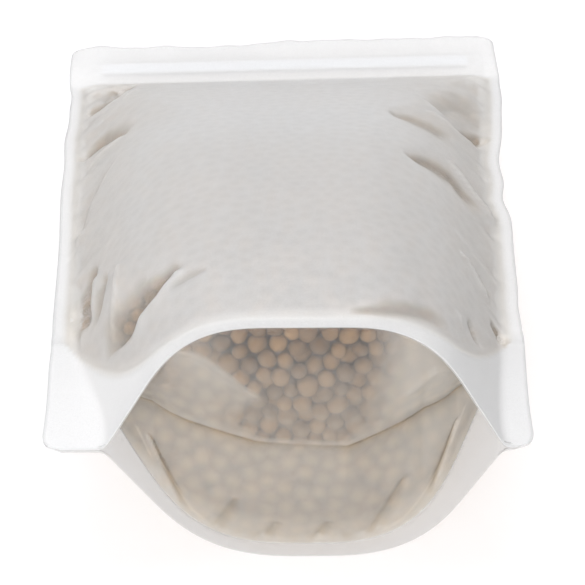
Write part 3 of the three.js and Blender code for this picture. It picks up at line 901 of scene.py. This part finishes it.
def pellet_object(name, centres, radii, subdivisions, rng):
    """Lumpy pellets, each a ball that is flattened and dented its own way."""
    unit, triangles = unit_ball(subdivisions)
    count = len(centres)
    lumps = np.zeros((count, len(unit)))
    for _ in range(PELLET_LUMPS):
        axis = rng.normal(size=(count, 3))
        axis *= rng.uniform(*LUMP_WAVES, (count, 1)) / np.linalg.norm(axis, axis=1, keepdims=True)
        lumps += LUMP_SIZE * np.sin(axis @ unit.T + rng.uniform(0.0, math.tau, (count, 1)))
    shape = unit * rng.uniform(*PELLET_FLATNESS, (count, 1, 3)) * (1.0 + lumps[..., None])
    shape /= np.linalg.norm(shape, axis=-1).max(axis=1)[:, None, None]
    turned = np.einsum("nij,nvj->nvi", random_turns(count, rng), shape)
    points = turned * radii[:, None, None] + centres[:, None]
    faces = (triangles + (np.arange(count) * len(unit))[:, None, None]).reshape(-1, 3)
    tone = np.repeat(rng.uniform(0.0, 1.0, count), len(unit))
    return mesh_object(name, points.reshape(-1, 3), faces, len(faces), {"tone": tone})


# Materials

def add_node(tree, kind, **values):
    """A shader node of the given kind, with values for its inputs or settings."""
    made = tree.nodes.new("ShaderNode" + kind)
    for key, value in values.items():
        if key in made.inputs:
            made.inputs[key].default_value = value
        else:
            setattr(made, key, value)
    return made


def link(giver, output, taker, entry):
    giver.id_data.links.new(giver.outputs[output], taker.inputs[entry])


def new_material(name):
    material = bpy.data.materials.new(name)
    material.use_nodes = True
    material.node_tree.nodes.clear()
    return material, material.node_tree


def add_mix(tree, first, second):
    """A mix of two colours, whose factor is linked later."""
    return add_node(tree, "Mix", data_type="RGBA", A=first, B=second)


def add_range(tree, start, end, low=0.0, high=1.0):
    """Turns the values between start and end into those between low and high."""
    limits = {"From Min": start, "From Max": end, "To Min": low, "To Max": high}
    return add_node(tree, "MapRange", **limits)


def film_material():
    """Frosted film: white scatter mixed with clear film, as its haze says, and lamps shine through.

    The clear part is rough over the kibble, and it shows straight through on the seals. Kibble behind
    the film greys its white as painted shade, dim darkens it as painted grey shade, and shade turns it brown
    as painted shade and painted brown light, and as the kibble's own brown where pellets touch the film."""
    material, tree = new_material("frosted_film")
    names = ("haze", "backing", "dim", "shade")
    haze, backing, dim, shade = (add_node(tree, "Attribute", attribute_name=name) for name in names)
    frost = add_node(tree, "TexNoise", Scale=1400.0, Detail=3.0)
    sway = add_range(tree, *FROST_NOISE, *FROST_SWAY)
    share = add_node(tree, "Math", operation="ADD", use_clamp=True)
    backed = add_mix(tree, FILM_WHITE, BACKED_SHADED_WHITE)
    dimmed = add_mix(tree, WHITE, PAINTED_SHADE_GREY)
    shaded = add_mix(tree, WHITE, SHADE_BROWN)
    scatter = add_node(tree, "BsdfDiffuse")
    glow = add_node(tree, "BsdfTranslucent")
    white = add_node(tree, "MixShader", Fac=0.4)
    rough = add_node(tree, "BsdfGlass", Color=WHITE, Roughness=0.15, IOR=1.35)
    straight = add_node(tree, "BsdfTransparent", Color=CLEAR_TINT)
    clear = add_node(tree, "MixShader")
    frosted = add_node(tree, "MixShader")
    path = add_node(tree, "LightPath")
    through = add_node(tree, "BsdfTransparent", Color=SHADOW_TINT)
    lit = add_node(tree, "MixShader")
    output = add_node(tree, "OutputMaterial")
    link(frost, "Fac", sway, "Value")
    link(haze, "Fac", share, 0)
    link(sway, "Result", share, 1)
    link(backing, "Fac", backed, "Factor")
    link(backed, "Result", dimmed, "A")
    link(dim, "Fac", dimmed, "Factor")
    link(dimmed, "Result", shaded, "A")
    link(shade, "Fac", shaded, "Factor")
    link(shaded, "Result", scatter, "Color")
    link(shaded, "Result", glow, "Color")
    link(scatter, "BSDF", white, 1)
    link(glow, "BSDF", white, 2)
    link(backing, "Fac", clear, "Fac")
    link(straight, "BSDF", clear, 1)
    link(rough, "BSDF", clear, 2)
    link(share, "Value", frosted, "Fac")
    link(clear, "Shader", frosted, 1)
    link(white, "Shader", frosted, 2)
    link(path, "Is Shadow Ray", lit, "Fac")
    link(frosted, "Shader", lit, 1)
    link(through, "BSDF", lit, 2)
    link(lit, "Shader", output, "Surface")
    return material


def kibble_material():
    """Dry baked pellets, brown by their own tone and by a grain that also roughens them."""
    material, tree = new_material("kibble")
    tone = add_node(tree, "Attribute", attribute_name="tone")
    grain = add_node(tree, "TexNoise", Scale=1300.0, Detail=5.0, Roughness=0.65)
    speckle = add_range(tree, *SPECKLE_NOISE)
    both = add_node(tree, "Math", operation="ADD")
    half = add_node(tree, "Math", operation="MULTIPLY")
    half.inputs[1].default_value = 0.5
    ramp = add_node(tree, "ValToRGB")
    for element, (position, colour) in zip(ramp.color_ramp.elements, KIBBLE_TONES):
        element.position = position
        element.color = colour
    bump = add_node(tree, "Bump", Strength=0.6, Distance=0.0006)
    surface = add_node(tree, "BsdfPrincipled", Roughness=0.8)
    output = add_node(tree, "OutputMaterial")
    link(tone, "Fac", both, 0)
    link(grain, "Fac", speckle, "Value")
    link(speckle, "Result", both, 1)
    link(both, "Value", half, 0)
    link(half, "Value", ramp, "Fac")
    link(ramp, "Color", surface, "Base Color")
    link(grain, "Fac", bump, "Height")
    link(bump, "Normal", surface, "Normal")
    link(surface, "BSDF", output, "Surface")
    return material


def zip_material():
    material, tree = new_material("zip_plastic")
    grain = add_node(tree, "TexNoise", Scale=700.0, Detail=3.0)
    bump = add_node(tree, "Bump", Strength=0.1, Distance=0.0002)
    surface = add_node(tree, "BsdfPrincipled", Roughness=0.4, IOR=1.45, **{"Base Color": ZIP_COLOUR})
    output = add_node(tree, "OutputMaterial")
    link(grain, "Fac", bump, "Height")
    link(bump, "Normal", surface, "Normal")
    link(surface, "BSDF", output, "Surface")
    return material


def seen_share(tree):
    """1 for the rays that show the background: from the camera, off gloss and through the film."""
    path = add_node(tree, "LightPath")
    gloss = add_node(tree, "Math", operation="ADD")
    through = add_node(tree, "Math", operation="ADD", use_clamp=True)
    link(path, "Is Camera Ray", gloss, 0)
    link(path, "Is Glossy Ray", gloss, 1)
    link(gloss, "Value", through, 0)
    link(path, "Is Transmission Ray", through, 1)
    return through


def floor_material():
    """A pale floor for light, which is white where it is seen apart from the pouch's faint shadow, made warm
    by painted warm light.
    """
    material, tree = new_material("pale_floor")
    plain = add_node(tree, "BsdfDiffuse", Color=FLOOR_PALE)
    shade = add_node(tree, "BsdfDiffuse", Color=FLOOR_LIT)
    place = add_node(tree, "NewGeometry")
    away = add_node(tree, "VectorMath", operation="LENGTH")
    glow = add_range(tree, *FLOOR_WARM_RANGE)
    painted_warmth = add_mix(tree, FLOOR_PAINTED_WARM, WHITE)
    white = add_node(tree, "Emission", Strength=1.0)
    seen = add_node(tree, "AddShader")
    mixed = add_node(tree, "MixShader")
    output = add_node(tree, "OutputMaterial")
    link(place, "Position", away, 0)
    link(away, "Value", glow, "Value")
    link(glow, "Result", painted_warmth, "Factor")
    link(painted_warmth, "Result", white, "Color")
    link(shade, "BSDF", seen, 0)
    link(white, "Emission", seen, 1)
    link(seen_share(tree), "Value", mixed, "Fac")
    link(plain, "BSDF", mixed, 1)
    link(seen, "Shader", mixed, 2)
    link(mixed, "Shader", output, "Surface")
    return material


# Studio

def make_floor():
    points = np.array([[-1, -1, 0], [1, -1, 0], [1, 1, 0], [-1, 1, 0]]) * FLOOR_REACH
    points[:, 2] = -FLOOR_DROP
    floor = mesh_object("floor", points, np.array([[0, 1, 2, 3]]), 1, {})
    floor.data.materials.append(floor_material())


def make_world():
    world = bpy.data.worlds.new("studio")
    bpy.context.scene.world = world
    world.use_nodes = True
    tree = world.node_tree
    tree.nodes.clear()
    fill = add_node(tree, "Background", Color=WHITE, Strength=FILL_LIGHT)
    white = add_node(tree, "Background", Color=WHITE, Strength=1.0)
    mixed = add_node(tree, "MixShader")
    output = add_node(tree, "OutputWorld")
    link(seen_share(tree), "Value", mixed, "Fac")
    link(fill, "Background", mixed, 1)
    link(white, "Background", mixed, 2)
    link(mixed, "Shader", output, "Surface")


def add_lamp(name, place, aim, size, watts):
    lamp = bpy.data.lights.new(name, "AREA")
    lamp.shape = "SQUARE"
    lamp.size = size
    lamp.energy = watts
    made = bpy.data.objects.new(name, lamp)
    made.location = place
    made.rotation_euler = (Vector(aim) - Vector(place)).to_track_quat("-Z", "Y").to_euler()
    bpy.context.scene.collection.objects.link(made)


def make_camera():
    lens = bpy.data.cameras.new("camera")
    lens.lens = CAMERA_LENS
    lens.sensor_width = CAMERA_SENSOR
    lens.sensor_fit = "HORIZONTAL"
    elevation = math.radians(CAMERA_ELEVATION)
    azimuth = math.radians(CAMERA_AZIMUTH)
    backwards = Vector((
        math.sin(azimuth) * math.cos(elevation),
        -math.cos(azimuth) * math.cos(elevation),
        math.sin(elevation),
    ))
    sideways = Vector((math.cos(azimuth), math.sin(azimuth), 0.0))
    upwards = backwards.cross(sideways)
    made = bpy.data.objects.new("camera", lens)
    turn = Matrix((sideways, upwards, backwards)).transposed().to_4x4()
    place = (Vector(CAMERA_TARGET) + backwards * CAMERA_DISTANCE) / MILLIMETRES
    made.matrix_world = Matrix.Translation(place) @ turn
    bpy.context.scene.collection.objects.link(made)
    bpy.context.scene.camera = made


# Looks of the three films

def front_looks(u, v, contact):
    """The front film's looks at its places, where contact says how the kibble touches it."""
    fill = within(GREY_BORDER, u, v)
    upward = smooth(*BODY_RISE, v)
    from_edge = HALF_WIDTH - np.abs(u)
    ridges = [
        Crease(RIDGE_WHITENING * fold.height, RIDGE_WIDTH, RIDGE_WIDTH, fold.line)
        for fold in FRONT_FOLDS if fold.height > 0.0
    ]
    whitened = crease_haze(u, v, ridges)
    pressed = fold_clearness(u, v, FRONT_FOLDS) * fill
    border = fill - within(SOFT_BORDER, u, v)
    on_ear = smooth(*EAR_BELOW_SEAL, v - seal_height(u)) * smooth(*EAR_RANGE, np.abs(u))
    beside_fill = smooth(*BESIDE_FILL_START, v) * smooth(*BESIDE_FILL_END, v)
    side_weld = (1.0 - fill) * smooth(*WELD_RANGE, from_edge) * beside_fill
    near_seam = fill * smooth(*SEAM_RANGE, from_edge) * beside_fill
    haze = lerp(lerp(SEAL_HAZE, EAR_HAZE, on_ear), lerp(*BODY_HAZE, upward), fill)
    haze = haze - lerp(*BODY_TOUCH, upward) * contact
    # Painted shade, darker towards the sides of the body
    side_shade = SIDE_SHADE * smooth(*SIDE_SHADE_RANGE, np.abs(u)) * fill
    return {
        "haze": haze + whitened + BORDER_HAZE * border - pressed,
        "backing": fill * np.clip(1.0 - RIDGE_COVER * whitened, 0.0, 1.0),
        # dim: painted grey shade beside the side seams, on the side seals and on the right ear
        "dim": SEAM_DIM * near_seam + WELD_DIM * side_weld + EAR_DIM * on_ear * (u > 0.0),
        # shade: painted shade in valleys, brown like the kibble pressed behind, along the grey border and
        # towards the sides
        "shade": PRESSED_SHADE * pressed + BORDER_SHADE * border + side_shade,
    }


def back_looks(u, v, contact):
    """The back film's looks: hazy over the kibble and clear on its skirt."""
    fill = within(SOFT_BORDER, u, v)
    haze = lerp(SKIRT_HAZE, BACK_HAZE, smooth(*BACK_RISE, v - seal_height(u))) - BACK_TOUCH * contact
    # Its skirt's shade is painted warm light.
    return {"haze": haze, "backing": fill, "shade": SKIRT_SHADE * (1.0 - fill)}


def gusset_looks(u, share, on_membrane, contact):
    """The gusset's looks on its membrane, and on the flanks that are sealed to the two skirts."""
    seen_pellets = contact * lerp(*MEMBRANE_TOUCH, smooth(*CLEAR_SHARE, share))
    pressed = fold_clearness(u, share * MEMBRANE_LENGTH, GUSSET_FOLDS)
    front_flank = lerp(SKIRT_HAZE, FRONT_FLANK_HAZE, smooth(*EAR_RANGE, np.abs(u)))
    flank_haze = np.where(share < 0.5, front_flank, SKIRT_HAZE)
    haze = membrane_haze(u, share) + seen_pellets - pressed
    # shade: painted brown light, painted shadows under the arch and the fold's lip, painted shade in valleys,
    # the kibble's brown where pellets touch, and painted warm light on the flanks
    shade = membrane_shade(u, share) + seen_pellets + pressed
    return {
        "haze": np.where(on_membrane, haze, flank_haze),
        "backing": on_membrane * 1.0,
        "shade": np.where(on_membrane, shade, SKIRT_SHADE),
    }


def finish_piece(piece, material, node):
    piece.data.materials.append(material)
    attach(piece, "root")
    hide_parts(node)


# Assembly

front_u, front_v = panel_places(FRONT_CELL)
front_grid = front_inner(front_u, front_v)
back_u, back_v = panel_places(BACK_CELL)
back_grid = back_inner(back_u, back_v)
gusset, gusset_u, gusset_share = gusset_grid()

FRONT_WALL, BACK_WALL, GUSSET_WALL = range(3)
on_membrane = (gusset_share > 0.0) & (gusset_share < 1.0) & (np.abs(gusset_u) < HALF_WIDTH - SIDE_SEAL)
walls = (
    wall_of(front_grid, holds_kibble(front_u, front_v), -1.0),
    wall_of(back_grid, holds_kibble(back_u, back_v), 1.0),
    wall_of(gusset, on_membrane, 1.0),
)
centres, radii, distance, kind = pack_pellets(walls)

film = film_material()

contact = film_contact(front_grid, centres, radii) * within(SOFT_BORDER, front_u, front_v)
front_face = front_grid + grid_normals(front_grid) * (contact * CONTACT_BULGE)[..., None]
front_outer = front_face + grid_normals(front_face) * FILM
front_film = shell_object("front_film", front_outer, front_face, front_looks(front_u, front_v, contact))
finish_piece(front_film, film, "front_panel")

contact = film_contact(back_grid, centres, radii) * within(SOFT_BORDER, back_u, back_v)
back_outer = back_grid - grid_normals(back_grid) * FILM
back_film = shell_object("back_film", back_grid, back_outer, back_looks(back_u, back_v, contact))
finish_piece(back_film, film, "back_panel")

contact = film_contact(gusset, centres, radii) * on_membrane
gusset_face = gusset - grid_normals(gusset) * (contact * CONTACT_BULGE)[..., None]
gusset_outer = gusset_face - grid_normals(gusset_face) * FILM
gusset_look = gusset_looks(gusset_u, gusset_share, on_membrane, contact)
gusset_film = shell_object("gusset_film", gusset_face, gusset_outer, gusset_look)
finish_piece(gusset_film, film, "bottom_gusset")

at_film = distance < radii * AT_FILM
by_gusset = (kind == GUSSET_WALL) & (distance < NEAR_GUSSET)
by_front = at_film & (kind == FRONT_WALL) & ~by_gusset
by_back = at_film & (kind == BACK_WALL) & ~by_gusset
inside = ~(by_gusset | by_front | by_back)
rng = np.random.default_rng(SEED + 1)
kibble = kibble_material()
for name, chosen, subdivisions in (
    ("kibble_by_gusset", by_gusset, 3),
    ("kibble_by_front", by_front, 2),
    ("kibble_by_back", by_back, 2),
    ("kibble_inside", inside, 1),
):
    pellets = pellet_object(name, centres[chosen], radii[chosen], subdivisions, rng)
    finish_piece(pellets, kibble, "kibble_fill")

plastic = zip_material()
for name in ("zip_channel_track", "zip_rib_track"):
    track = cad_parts[name]
    track.data.materials.clear()
    track.data.materials.append(plastic)

make_floor()
make_world()
for lamp in LAMPS:
    add_lamp(*lamp)
make_camera()

bpy.context.scene.view_settings.view_transform = "Standard"
